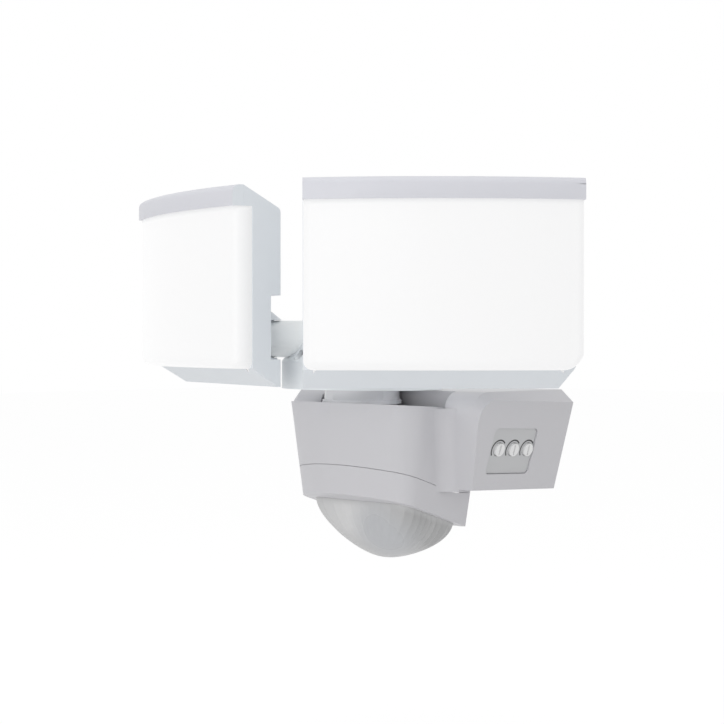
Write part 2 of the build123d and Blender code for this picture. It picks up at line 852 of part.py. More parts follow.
def make_arm():
    """Round arm that ends in a fork, with an ear above and one below the swivel's tongue."""
    shaft = arm_reach - arm_root
    with BuildPart() as arm:
        with BuildSketch(Plane.XZ.offset(-shaft)):
            Circle(arm_radius)
        extrude(amount=shaft + arm_radius)
        with BuildSketch(Plane.XY.offset(-arm_radius)):
            Circle(arm_radius)
            with Locations((0, shaft / 2)):
                Rectangle(3 * arm_radius, shaft)
        extrude(amount=2 * arm_radius, mode=Mode.INTERSECT)
        with BuildSketch(Plane.XY.offset(-tongue_thickness / 2 - slip)):
            Circle(eye_radius + slip)
            with Locations((0, -arm_radius)):
                Rectangle(3 * arm_radius, 2 * arm_radius)
            for turn in fork_sweep:
                with Locations(Location((0, 0), turn)):
                    with Locations((0, -arm_radius)):
                        Rectangle(2 * (tilt_barrel_half + slip), 2 * arm_radius)
        extrude(amount=tongue_thickness + 2 * slip, mode=Mode.SUBTRACT)
        with BuildSketch(Plane.XY.offset(-arm_radius)):
            Circle(pan_pin_radius + fit)
        extrude(amount=2 * arm_radius, mode=Mode.SUBTRACT)
    return arm.part


def make_swivel():
    """Flat tongue: an eye round the pan pin at one end, a round end with the tilt pin's bore."""
    end_radius = tongue_thickness / 2
    with BuildPart() as swivel:
        with BuildSketch(Plane.XY.offset(-end_radius)):
            Circle(eye_radius)
            with Locations((0, -(tilt_offset + end_radius) / 2)):
                Rectangle(2 * tilt_barrel_half, tilt_offset + end_radius)
        extrude(amount=tongue_thickness)
        with BuildSketch(Plane.YZ.offset(-2 * tilt_barrel_half)):
            with Locations((-tilt_offset, 0)):
                Circle(end_radius)
            with Locations((0, 0)):
                Rectangle(2 * tilt_offset, tongue_thickness)
        extrude(amount=4 * tilt_barrel_half, mode=Mode.INTERSECT)
        with BuildSketch(Plane.XY.offset(-end_radius)):
            Circle(pan_pin_radius)
        extrude(amount=tongue_thickness, mode=Mode.SUBTRACT)
        with BuildSketch(Plane.YZ.offset(-tilt_barrel_half)):
            with Locations((-tilt_offset, 0)):
                Circle(tilt_pin_radius + fit)
        extrude(amount=2 * tilt_barrel_half, mode=Mode.SUBTRACT)
    return swivel.part


def make_pan_pin():
    """Upright pin held in the tongue, with a cone-shaped cap above the fork and a flat foot."""
    reach = arm_radius + slip
    foot = pan_pin_radius + pan_foot_width
    with BuildPart() as pin:
        with BuildSketch(Plane.XZ):
            with BuildLine():
                Polyline(
                    (0, -reach - pan_foot_height),
                    (foot, -reach - pan_foot_height),
                    (foot, -reach),
                    (pan_pin_radius, -reach),
                    (pan_pin_radius, reach),
                    (pan_cap_radius, reach),
                    (pan_cap_tip, reach + pan_cap_height),
                    (0, reach + pan_cap_height),
                    close=True,
                )
            make_face()
        revolve(axis=Axis.Z)
    return pin.part


def make_tilt_pin():
    """Level pin through the tongue's round end, with a round head at each cheek."""
    half = tilt_barrel_half + slip + cheek_thickness
    with BuildPart() as pin:
        with BuildSketch(Plane.YZ.offset(-half)):
            with Locations((-tilt_offset, 0)):
                Circle(tilt_pin_radius)
        extrude(amount=2 * half)
        for start in (-half - tilt_head_height, half):
            with BuildSketch(Plane.YZ.offset(start)):
                with Locations((-tilt_offset, 0)):
                    Circle(tilt_pin_radius + tilt_head_width)
            extrude(amount=tilt_head_height)
    return pin.part


head_screw_seat = screw_head_height + head_screw_sink
head_screw_places = [
    (x, z)
    for x in (head_inner + head_screw_inset, head_outer - head_screw_inset)
    for z in (pocket_high + head_screw_margin, visor_low - head_screw_margin)
]


def make_rear_shell():
    """Back half of a head: a tray with sloping top and bottom, and the swivel's pocket."""
    with BuildPart() as shell:
        with BuildSketch(Plane.YZ.offset(head_inner)) as end_view:
            with BuildLine():
                Polyline(
                    (seam_y, head_top),
                    (head_back, head_bottom + back_top),
                    (head_back, head_bottom),
                    (head_back - shell_foot, head_bottom),
                    (panel_y, head_bottom + bevel_height),
                    (panel_y, visor_low),
                    (seam_y, visor_low),
                    close=True,
                )
            make_face()
            back_corners = end_view.vertices().group_by(Axis.X)[-1]
            fillet(back_corners.sort_by(Axis.Y)[-1], back_round)
        extrude(amount=head_width)
        with BuildSketch(Plane.XZ):
            Polygon(
                (head_outer, head_bottom),
                (head_outer, head_bottom + corner_cut_height),
                (head_outer - corner_cut_width, head_bottom),
                align=None,
            )
        extrude(amount=2 * (head_depth + pin_behind_head), both=True, mode=Mode.SUBTRACT)
        cavity_low = head_bottom + bevel_height + shell_wall
        cavity_high = visor_low - shell_wall
        with BuildSketch(Plane.XZ.offset(-panel_y)):
            with Locations((head_middle, (cavity_low + cavity_high) / 2)):
                Rectangle(head_width - 2 * shell_wall, cavity_high - cavity_low)
        extrude(amount=-(head_back - shell_wall - panel_y), mode=Mode.SUBTRACT)
        pocket_roof = pocket_high + shell_wall
        channel_wall = channel_half + shell_wall
        with BuildSketch(Plane.XZ.offset(-head_back)):
            with Locations(((head_inner + channel_wall) / 2, (pocket_roof + cavity_low) / 2)):
                Rectangle(channel_wall - head_inner, pocket_roof - cavity_low)
        extrude(amount=pocket_depth + shell_wall)
        with BuildSketch(Plane.XZ.offset(-head_back)):
            with Locations((0, (pocket_roof + cavity_low) / 2)):
                Rectangle(2 * channel_wall, pocket_roof - cavity_low)
        extrude(amount=-(channel_front - shell_wall - head_back))
        with BuildSketch(Plane.XZ.offset(-head_back)):
            with Locations(((head_inner + channel_half) / 2, (pocket_high + pocket_low) / 2)):
                Rectangle(channel_half - head_inner, pocket_high - pocket_low)
        extrude(amount=pocket_depth, mode=Mode.SUBTRACT)
        with BuildSketch(Plane.XZ.offset(-head_back)):
            with Locations((0, (pocket_high + channel_low) / 2)):
                Rectangle(2 * channel_half, pocket_high - channel_low)
        extrude(amount=channel_depth, mode=Mode.SUBTRACT)
        with BuildSketch(Plane.XZ.offset(-head_back)):
            with Locations(*head_screw_places):
                Circle(boss_radius)
        extrude(amount=head_back - panel_y - board_thickness)
        with BuildSketch(Plane.XZ.offset(-head_back)):
            with Locations(*head_screw_places):
                Circle(screw_head_radius + slip)
        extrude(amount=head_screw_seat, mode=Mode.SUBTRACT)
        with BuildSketch(Plane.XZ.offset(-head_back)):
            with Locations(*head_screw_places):
                Circle(screw_radius)
        extrude(amount=head_screw_seat + head_screw_length, mode=Mode.SUBTRACT)
        for cheek_side in (-1, 1):
            inner = tilt_barrel_half + slip
            start = inner if cheek_side > 0 else -inner - cheek_thickness
            with BuildSketch(Plane.YZ.offset(start)):
                with Locations((-tilt_offset, 0)):
                    Circle(cheek_radius)
                with Locations(((channel_front - tilt_offset) / 2, 0)):
                    Rectangle(abs(channel_front + tilt_offset), 2 * cheek_radius)
                with Locations((-tilt_offset, 0)):
                    Circle(tilt_pin_radius, mode=Mode.SUBTRACT)
            extrude(amount=cheek_thickness)
    return shell.part


def bowed_outline(front, back, inset=0.0):
    """Plan of a piece whose front is a shallow arc across the head's width."""
    with BuildSketch(Plane.XY) as outline:
        with BuildLine():
            left = head_inner + inset
            right = head_outer - inset
            Line((left, back), (left, front))
            ThreePointArc((left, front), (head_middle, front - face_bow), (right, front))
            Line((right, front), (right, back))
            Line((right, back), (left, back))
        make_face()
    return outline.sketch


def make_visor():
    """Bar along the head's upper front edge, rounded on top."""
    with BuildPart() as visor:
        with BuildSketch(Plane.XY.offset(visor_low)):
            add(bowed_outline(head_front, seam_y))
        extrude(amount=visor_height)
        upper = visor.edges().group_by(Axis.Z)[-1]
        rim = upper.filter_by(lambda e: e.center().Y < seam_y - visor_depth)
        fillet(rim, visor_round)
    return visor.part


def make_diffuser():
    """Opal cover: a bowed front with short sides, open to the back."""
    front = head_front + diffuser_set_back
    low = head_bottom + bevel_height
    height = visor_low - low
    with BuildPart() as cover:
        with BuildSketch(Plane.XY.offset(low)):
            add(bowed_outline(front, panel_y, diffuser_inset))
        extrude(amount=height)
        outer_uprights = cover.edges().filter_by(Axis.Z).group_by(Axis.Y)[0]
        fillet(outer_uprights, diffuser_corner)
        low_front = cover.faces().sort_by(Axis.Z)[0].edges()
        rim = low_front.filter_by(lambda e: e.center().Y < panel_y - slip)
        fillet(rim, diffuser_low_round)
        with BuildSketch(Plane.XY.offset(low + diffuser_skin)):
            add(bowed_outline(front + diffuser_skin, panel_y, diffuser_inset + diffuser_skin))
        extrude(amount=height - 2 * diffuser_skin, mode=Mode.SUBTRACT)
        with BuildSketch(Plane.XZ):
            Polygon(
                (head_outer, low),
                (head_outer, head_bottom + corner_cut_height),
                (head_outer - corner_cut_width * (1 - bevel_height / corner_cut_height), low),
                align=None,
            )
        extrude(amount=2 * head_depth, both=True, mode=Mode.SUBTRACT)
    return cover.part


def board_plate(back, thickness):
    """Rectangular plate behind the diffuser; back is the distance behind the panel line."""
    with BuildPart() as plate:
        with BuildSketch(Plane.XZ.offset(-(panel_y + back))):
            with Locations((head_middle, board_low + board_height / 2)):
                Rectangle(board_width, board_height)
        extrude(amount=-thickness)
    return plate.part


def make_leds():
    """Rows of small square light sources on the front of the board."""
    with BuildPart() as chips:
        with BuildSketch(Plane.XZ.offset(-(panel_y + board_gap))):
            with Locations((head_middle, board_low + board_height / 2)):
                with GridLocations(led_pitch, led_row_pitch, led_columns, led_rows):
                    Rectangle(led_size, led_size)
        extrude(amount=led_height)
    return chips.part


def make_head_screws():
    """Four screws from the back into the tray's bosses."""
    with BuildPart() as screws:
        for x, z in head_screw_places:
            spot = Plane(
                origin=(x, head_back - head_screw_seat, z), x_dir=(1, 0, 0), z_dir=(0, 1, 0)
            )
            add(screw_shape(spot, head_screw_length))
    return screws.part


head_pieces = (
    ("swivel", make_swivel),
    ("pan_pin", make_pan_pin),
    ("tilt_pin", make_tilt_pin),
    ("rear_shell", make_rear_shell),
    ("visor", make_visor),
    ("diffuser", make_diffuser),
    ("led_board", lambda: board_plate(board_gap, board_thickness)),
    ("heat_spreader", lambda: board_plate(board_gap + board_thickness, spreader_thickness)),
    ("led_chips", make_leds),
    ("head_screws", make_head_screws),
)
head_turns = {"left": left_pan, "right": right_pan}
for side, head_turn in head_turns.items():
    keep(seat(make_arm(), side, arm_angle), f"{side}_arm")
for piece_name, make_piece in head_pieces:
    shape = make_piece()
    for side, head_turn in head_turns.items():
        keep(seat(shape, side, head_turn), f"{side}_{piece_name}")
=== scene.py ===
import json
import math

import bmesh
import bpy
import numpy as np
from bpy.props import FloatProperty, FloatVectorProperty, IntProperty, PointerProperty
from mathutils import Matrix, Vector

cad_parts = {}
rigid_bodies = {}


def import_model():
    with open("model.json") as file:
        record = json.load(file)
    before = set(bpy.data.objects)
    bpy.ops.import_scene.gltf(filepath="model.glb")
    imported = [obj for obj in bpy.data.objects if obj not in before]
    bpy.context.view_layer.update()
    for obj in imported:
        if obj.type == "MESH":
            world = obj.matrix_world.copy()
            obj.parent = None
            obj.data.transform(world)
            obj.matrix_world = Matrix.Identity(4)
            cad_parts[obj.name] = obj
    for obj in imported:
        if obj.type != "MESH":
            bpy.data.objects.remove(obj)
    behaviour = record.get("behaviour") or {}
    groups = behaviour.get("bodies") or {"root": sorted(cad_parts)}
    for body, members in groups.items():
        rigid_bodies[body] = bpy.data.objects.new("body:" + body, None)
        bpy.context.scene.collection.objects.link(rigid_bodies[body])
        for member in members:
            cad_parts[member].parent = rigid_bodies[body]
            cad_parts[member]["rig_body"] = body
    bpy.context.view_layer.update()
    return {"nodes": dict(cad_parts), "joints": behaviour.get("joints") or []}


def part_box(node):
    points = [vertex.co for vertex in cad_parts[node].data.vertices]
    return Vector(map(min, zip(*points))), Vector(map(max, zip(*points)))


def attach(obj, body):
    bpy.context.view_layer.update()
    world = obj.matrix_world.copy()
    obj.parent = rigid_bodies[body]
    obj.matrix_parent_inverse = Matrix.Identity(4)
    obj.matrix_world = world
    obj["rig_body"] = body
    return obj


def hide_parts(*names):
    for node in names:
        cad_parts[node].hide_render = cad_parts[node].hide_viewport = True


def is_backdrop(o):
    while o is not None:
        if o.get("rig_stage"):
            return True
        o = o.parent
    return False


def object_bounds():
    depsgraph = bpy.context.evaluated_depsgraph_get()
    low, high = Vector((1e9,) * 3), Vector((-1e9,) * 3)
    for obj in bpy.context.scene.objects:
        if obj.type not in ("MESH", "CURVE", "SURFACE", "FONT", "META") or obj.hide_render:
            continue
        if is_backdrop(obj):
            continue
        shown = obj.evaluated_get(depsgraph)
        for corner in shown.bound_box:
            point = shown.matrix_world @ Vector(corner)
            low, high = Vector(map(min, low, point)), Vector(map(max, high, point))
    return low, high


bl_info = {
    "name": "Motion Sensor Security Light",
    "version": (1, 0, 0),
    "blender": (4, 5, 0),
    "location": "View3D > Sidebar > Sensor Light",
    "description": "Dresses a twin-head wall light with a domed motion sensor, in a studio",
    "category": "Object",
}

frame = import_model()
MM = 0.001
# degrees between two faces: from the first an edge is sharp, within the second they are one face
SHARP_ANGLE = 30.0
FLAT_ANGLE = 0.6


# ---------------------------------------------------------------- settings
def colour(name, description, default):
    """Colour setting with the same limits for every piece."""
    return FloatVectorProperty(
        name=name, description=description, subtype="COLOR", size=3, min=0, max=1, default=default
    )


def length(name, description, default):
    """Length setting in metres, written in millimetres here."""
    return FloatProperty(
        name=name, description=description, default=default * MM, unit="LENGTH", precision=5
    )


class SensorLightBody(bpy.types.PropertyGroup):
    # Painted light and shade: the housing, visor, back shells, carrier, arms and neck are one
    # white plastic. The housing and visor colours are painted darker, as shade, and the back
    # shell, carrier, arm and neck colours are painted lighter, as light.
    plastic: colour(
        "Moulded plastic", "Colour of the housing and the sensor bezel", (0.64, 0.635, 0.66)
    )
    bright: colour("Bright plastic", "Colour of the back shells", (0.79, 0.825, 0.86))
    carrier: colour("Carrier plastic", "Colour of the carrier", (0.90, 0.93, 0.95))
    arm: colour("Arm plastic", "Colour of the two arms", (0.97, 0.99, 0.99))
    visor: colour("Visor", "Colour of the bar over each lamp face", (0.73, 0.735, 0.785))
    neck: colour("Neck", "Colour of the glossy neck", (0.84, 0.84, 0.86))
    panel: colour("Dial panel", "Colour of the recessed panel", (0.60, 0.605, 0.615))
    dial: colour("Dial", "Colour of the trim dials", (0.90, 0.90, 0.90))
    mark: colour("Dial marks", "Colour of the plain marks round the dials", (0.02, 0.02, 0.022))
    edge: length("Edge softness", "Radius of the small rounding on moulded edges", 0.45)
    blend_radius: length("Shoulder blend", "Radius where the sensor bowl meets the wall box", 9.0)
    mark_radius: length("Mark radius", "Radius of the arc printed round each dial", 5.7)
    mark_width: length("Mark width", "Width of the printed arc", 0.8)


class SensorLightLamp(bpy.types.PropertyGroup):
    diffuser: colour("Diffuser", "Colour of the opal lamp face", (0.46, 0.46, 0.463))
    glow: FloatProperty(
        name="Glow", description="Light given off by the lamp face", default=0.51, min=0
    )
    edge: length("Face edge", "Radius of the soft edge round the lamp face", 5.0)
    lens: colour("Sensor lens", "Colour of the milky dome", (0.57, 0.57, 0.572))
    lens_window: colour("Lens centre", "Tint of the dome's smooth centre", (0.52, 0.53, 0.55))
    facets: IntProperty(
        name="Lens facets", description="Upright strips round the dome", default=34, min=6
    )
    facet_depth: length("Facet depth", "How far each strip is drawn in at its middle", 0.8)


class SensorLightStage(bpy.types.PropertyGroup):
    floor_drop: length(
        "Floor distance", "Height of the object's lowest point above the floor", 120.0
    )
    lens_length: FloatProperty(name="Camera lens", description="Focal length in mm", default=90.25)
    key_power: FloatProperty(
        name="Top light", description="Power of the overhead soft light in W", default=4.4
    )
    fill_power: FloatProperty(
        name="Fill light", description="Power of the front soft light in W", default=3.5
    )
    gap_power: FloatProperty(
        name="Gap light", description="Power of the small lamp under the carrier in W",
        default=0.0022,
    )
    sky: FloatProperty(
        name="Sky", description="Strength of the even light from all round", default=0.63
    )


# ---------------------------------------------------------------- shader building
# part of the window's radius in which the tint is full, and the painted light and shade of the
# lens's strips, each strip's tone standing in for how its facet catches the light
WINDOW_SOLID = 0.4
SHADED_STRIP_TONE = 0.74
LIT_STRIP_TONE = 1.24


class Value:
    """A number socket of a material; each operator adds one Math node."""

    def __init__(self, finish, socket):
        self.finish = finish
        self.socket = socket

    def joined(self, operation, first, second):
        node = self.finish.node("ShaderNodeMath", {"operation": operation}, {0: first, 1: second})
        return Value(self.finish, node.outputs[0])

    def __add__(self, other):
        return self.joined("ADD", self, other)

    def __radd__(self, other):
        return self.joined("ADD", other, self)

    def __sub__(self, other):
        return self.joined("SUBTRACT", self, other)

    def __rsub__(self, other):
        return self.joined("SUBTRACT", other, self)

    def __mul__(self, other):
        return self.joined("MULTIPLY", self, other)

    def __rmul__(self, other):
        return self.joined("MULTIPLY", other, self)

    def __truediv__(self, other):
        return self.joined("DIVIDE", self, other)

    def __gt__(self, other):
        return self.joined("GREATER_THAN", self, other)


class Finish:
    """One material, or the world, and the single way in which nodes are added to it."""

    def __init__(self, name, library=None):
        library = bpy.data.materials if library is None else library
        self.material = library.new(name)
        self.material.use_nodes = True
        self.tree = self.material.node_tree
        self.shader = self.tree.nodes.get("Principled BSDF") or self.tree.nodes["Background"]

    def node(self, kind, settings=None, sockets=None):
        node = self.tree.nodes.new(kind)
        for key, setting in (settings or {}).items():
            setattr(node, key, setting)
        for key, content in (sockets or {}).items():
            self.feed(node.inputs[key], content)
        return node

    def feed(self, socket, content):
        if isinstance(content, Value):
            content = content.socket
        if isinstance(content, bpy.types.NodeSocket):
            self.tree.links.new(content, socket)
        else:
            socket.default_value = content

    def noise(self, scale, detail=3.0):
        """Even noise from 0 to 1 on object coordinates; scale is in cells a metre."""
        place = self.node("ShaderNodeTexCoord").outputs["Object"]
        pattern = self.node(
            "ShaderNodeTexNoise", {}, {"Vector": place, "Scale": scale, "Detail": detail}
        )
        return Value(self, pattern.outputs["Fac"])

    def place(self, axis):
        """One object coordinate in metres."""
        coordinates = self.node("ShaderNodeTexCoord").outputs["Object"]
        split = self.node("ShaderNodeSeparateXYZ", {}, {0: coordinates})
        return Value(self, split.outputs[axis])

    def mix(self, share, low, high):
        """Colour between low and high."""
        node = self.node("ShaderNodeMix", {"data_type": "RGBA"})
        self.feed(node.inputs[0], share)
        self.feed(node.inputs[6], low)
        self.feed(node.inputs[7], high)
        return node.outputs[2]

    def bump(self, height, distance, strength=1.0):
        bump = self.node(
            "ShaderNodeBump", {}, {"Height": height, "Distance": distance, "Strength": strength}
        )
        self.feed(self.shader.inputs["Normal"], bump.outputs[0])

    def seen(self):
        """1 where the eye meets this straight, in a reflection or through clear plastic."""
        path = self.node("ShaderNodeLightPath").outputs
        direct = Value(self, path["Is Camera Ray"])
        mirrored = direct.joined("MAXIMUM", direct, Value(self, path["Is Glossy Ray"]))
        return mirrored.joined("MAXIMUM", mirrored, Value(self, path["Is Transmission Ray"]))

    def show(self, share, own, other, output):
        """Blends two shaders and shows the result."""
        blend = self.node("ShaderNodeMixShader", {}, {0: share})
        self.feed(blend.inputs[1], own)
        self.feed(blend.inputs[2], other)
        self.feed(self.tree.nodes[output].inputs[0], blend.outputs[0])

    def set(self, **constants):
        for key, content in constants.items():
            self.shader.inputs[key.replace("_", " ")].default_value = content


def shade(rgb, factor):
    """Colour as RGBA, made lighter or darker by a factor."""
    return (*(min(1.0, channel * factor) for channel in rgb), 1.0)


def mottled(finish, rgb, spread, scale):
    """Feeds the base colour with a slight cloudiness round rgb."""
    cloud = finish.noise(scale, 4.0)
    mixed = finish.mix(cloud, shade(rgb, 1 - spread), shade(rgb, 1 + spread))
    finish.feed(finish.shader.inputs["Base Color"], mixed)


def moulded(name, rgb, roughness, grain=0.02, spread=0.012):
    """Injection-moulded plastic: fine spark-eroded grain, roughness that wanders a little."""
    finish = Finish(name)
    mottled(finish, rgb, spread, 45.0)
    finish.feed(finish.shader.inputs["Roughness"], roughness - 0.04 + finish.noise(220.0) * 0.08)
    finish.bump(finish.noise(2600.0, 2.0), grain * MM)
    finish.set(IOR=1.5)
    return finish.material


def opal(name, rgb, glow):
    """Lit opal cover: nearly white and even, satin, with very fine grain."""
    finish = Finish(name)
    mottled(finish, rgb, 0.004, 30.0)
    finish.feed(finish.shader.inputs["Roughness"], 0.42 + finish.noise(300.0) * 0.06)
    finish.bump(finish.noise(3200.0, 2.0), 0.006 * MM)
    finish.set(Emission_Color=(1.0, 1.0, 1.0, 1.0), Emission_Strength=glow)
    return finish.material


def milky(name, rgb, window, middle, radius):
    """Sensor dome: milky plastic that has a cooler and smoother tint round a point.

    Elsewhere the strip attribute, from -0.5 to 0.5, sets the tone between a shaded and a lit one:
    painted light and shade on each facet.
    """
    finish = Finish(name)
    place = finish.node("ShaderNodeTexCoord").outputs["Object"]
    away = finish.node(
        "ShaderNodeVectorMath", {"operation": "DISTANCE"}, {0: place, 1: tuple(middle)}
    )
    reach = Value(finish, away.outputs["Value"]) / radius
    ramp = finish.node("ShaderNodeValToRGB", {}, {0: reach})
    ramp.color_ramp.elements[0].position = WINDOW_SOLID
    ramp.color_ramp.elements[1].position = 1.0
    edge = Value(finish, ramp.outputs[0])
    cloud = finish.noise(120.0, 4.0) * 0.06
    strip = finish.node("ShaderNodeAttribute", {"attribute_name": "strip"})
    tone = 0.5 + Value(finish, strip.outputs["Fac"])
    plain = finish.mix(tone, shade(rgb, SHADED_STRIP_TONE), shade(rgb, LIT_STRIP_TONE))
    mixed = finish.mix(edge - cloud, shade(window, 1.0), plain)
    finish.feed(finish.shader.inputs["Base Color"], mixed)
    finish.feed(finish.shader.inputs["Roughness"], 0.24 + edge * 0.14)
    finish.bump(finish.noise(900.0, 2.0), 0.02 * MM)
    return finish.material


def metal(name, rgb, roughness):
    """Plated or rolled metal with fine scratches."""
    finish = Finish(name)
    mottled(finish, rgb, 0.06, 160.0)
    finish.feed(finish.shader.inputs["Roughness"], roughness - 0.06 + finish.noise(800.0) * 0.16)
    finish.bump(finish.noise(1800.0, 4.0), 0.01 * MM)
    finish.set(Metallic=1.0)
    return finish.material


def laminate(name, rgb):
    """Circuit board: lacquer over tracks, which show as paler bands."""
    finish = Finish(name)
    cells = finish.noise(170.0, 1.0)
    tracks = (cells > 0.52) - (cells > 0.56)
    mixed = finish.mix(tracks, shade(rgb, 1.0), shade(rgb, 1.7))
    finish.feed(finish.shader.inputs["Base Color"], mixed)
    finish.feed(finish.shader.inputs["Roughness"], 0.3 + finish.noise(400.0) * 0.08)
    return finish.material


# ---------------------------------------------------------------- meshes
def settings():
    return bpy.context.scene.sensor_light_body


def lamp_settings():
    return bpy.context.scene.sensor_light_lamp


def finished_copy(node, body, material, edge, flat=FLAT_ANGLE):
    """Merged copy of a CAD node, with soft edges, that replaces it.

    Neighbouring faces within flat degrees of each other are joined, so that the soft edges run
    clean.  Edges sharper than SHARP_ANGLE degrees are softened.
    """
    source = frame["nodes"][node]
    mesh = source.data.copy()
    shape = bmesh.new()
    shape.from_mesh(mesh)
    bmesh.ops.remove_doubles(shape, verts=shape.verts, dist=0.003 * MM)
    if flat:
        bmesh.ops.dissolve_limit(
            shape, angle_limit=math.radians(flat), verts=shape.verts, edges=shape.edges
        )
    shape.to_mesh(mesh)
    shape.free()
    piece = add_piece(f"{node}_finished", mesh, body, material)
    if edge:
        bevel = piece.modifiers.new("Soft edges", "BEVEL")
        bevel.width = edge
        bevel.segments = 3
        bevel.limit_method = "ANGLE"
        bevel.angle_limit = math.radians(SHARP_ANGLE)
        bevel.harden_normals = True
    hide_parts(node)
    return piece


def add_piece(name, mesh, body, material, sharp=SHARP_ANGLE):
    """Links a mesh as a smooth piece with sharp edges kept, and rides it on a body."""
    mesh.materials.clear()
    mesh.materials.append(material)
    mesh.name = name
    piece = bpy.data.objects.new(name, mesh)
    bpy.context.scene.collection.objects.link(piece)
    mesh.polygons.foreach_set("use_smooth", np.ones(len(mesh.polygons), bool))
    mesh.set_sharp_from_angle(angle=math.radians(sharp))
    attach(piece, body)
    return piece


def grid_mesh(name, points, close_across=False):
    """Mesh of quads from an array of points, rows by columns by 3; columns may close round."""
    rows, columns = points.shape[:2]
    index = np.arange(rows * columns).reshape(rows, columns)
    if close_across:
        index = np.concatenate([index, index[:, :1]], axis=1)
    quads = np.stack(
        [index[:-1, :-1], index[:-1, 1:], index[1:, 1:], index[1:, :-1]], axis=-1
    ).reshape(-1, 4)
    mesh = bpy.data.meshes.new(name)
    mesh.from_pydata(points.reshape(-1, 3).tolist(), [], quads.tolist())
    mesh.update()
    return mesh


# ---------------------------------------------------------------- operators
CAMERA_PLACE = (0.731, -0.8261, 0.060)
CAMERA_DIP = 0.81
CAMERA_ROUND = 45
WHITE = (1.0, 1.0, 1.0, 1.0)
FLOOR_REACH = 6.0
FLOOR_WHITE = 1.08
FLOOR_SHOWN = 0.8
FIXED = "base"
SIDES = ("left", "right")

# lamp face, measured from the pan pin: x outward, y to the back, z up
FACE_INNER = -30.6 * MM
FACE_OUTER = 116.6 * MM
FACE_FRONT = -33.2 * MM
FACE_BACK = -23.0 * MM
FACE_LOW = -16.3 * MM
FACE_HIGH = 73.0 * MM
FACE_BOW = 9.0 * MM
FACE_SKIN = 1.8 * MM
FACE_ROWS = 30
EDGE_ROWS = 12
CORNER_COLUMNS = 10
FRONT_COLUMNS = 60
HEAD_LOW = -26.5 * MM
CORNER_CUT_WIDTH = 11.0 * MM
CORNER_CUT_HEIGHT = 18.0 * MM

# cosine from which a visor's face counts as its end
END_FACING = 0.99

# corner between the sensor bowl and the wall box
RIM_HEIGHT = 20.0 * MM
BLEND_LOW = -27.0 * MM
BOWL_HALF_WIDTH = 50.0 * MM
BOWL_DRAFT = math.tan(math.radians(7.0))
BOX_DEPTH = 80.0 * MM
BOX_RISE = 0.04
LEAN_HEIGHT = 16.0 * MM
FRONT_LEAN = 0.19

# printed marks round the dials, in degrees and metres
MARK_TURNS = (215, 42)
MARK_COLUMNS = 40
MARK_LIFT = 0.03 * MM

# sensor dome, measured in the sloping plane of its rim
DOME_MIDDLE = np.array([0.0, -77.3, -40.64]) * MM
DOME_SLOPE = 0.325
DOME_LEAN = 0.06
DOME_HALF_WIDTH = 37.7 * MM
DOME_HALF_DEPTH = 24.0 * MM
DOME_HEIGHT = 26.3 * MM
DOME_FULLNESS = 1.84
DOME_SKIRT = 4.5 * MM
DOME_SKIN = 1.3 * MM
DOME_ROWS = 56
SKIRT_ROWS = 3
COLUMNS_PER_STRIP = 10
WINDOW_FROM_CORNER = (0.014, 0.010, 0.018)
WINDOW_RADIUS = 24.0 * MM
STRIP_STEP = 12.9898
STRIP_START = 4.1414


def joint(name):
    return next(entry for entry in frame["joints"] if entry["name"] == name)


def head_axes(side):
    """Pan pin's place, and the directions outward and to the back of one head."""
    mirror = 1 if side == "right" else -1
    outward = mirror * np.array(joint(f"{side}_tilt")["axis"])
    back = mirror * np.cross([0.0, 0.0, 1.0], outward)
    return np.array(joint(f"{side}_pan")["pos_m"]), outward, back


def turned_outward(mesh, middle):
    """Flips a mesh whose faces look towards a point inside it."""
    count = len(mesh.polygons)
    normals = np.zeros(count * 3)
    places = np.zeros(count * 3)
    mesh.polygons.foreach_get("normal", normals)
    mesh.polygons.foreach_get("center", places)
    away = places.reshape(-1, 3) - np.asarray(middle)
    if (normals.reshape(-1, 3) * away).sum() < 0:
        mesh.flip_normals()
    return mesh


def thicken(piece, thickness):
    """Gives a surface its wall, on the inside."""
    wall = piece.modifiers.new("Wall", "SOLIDIFY")
    wall.thickness = thickness
    wall.offset = -1
    return piece


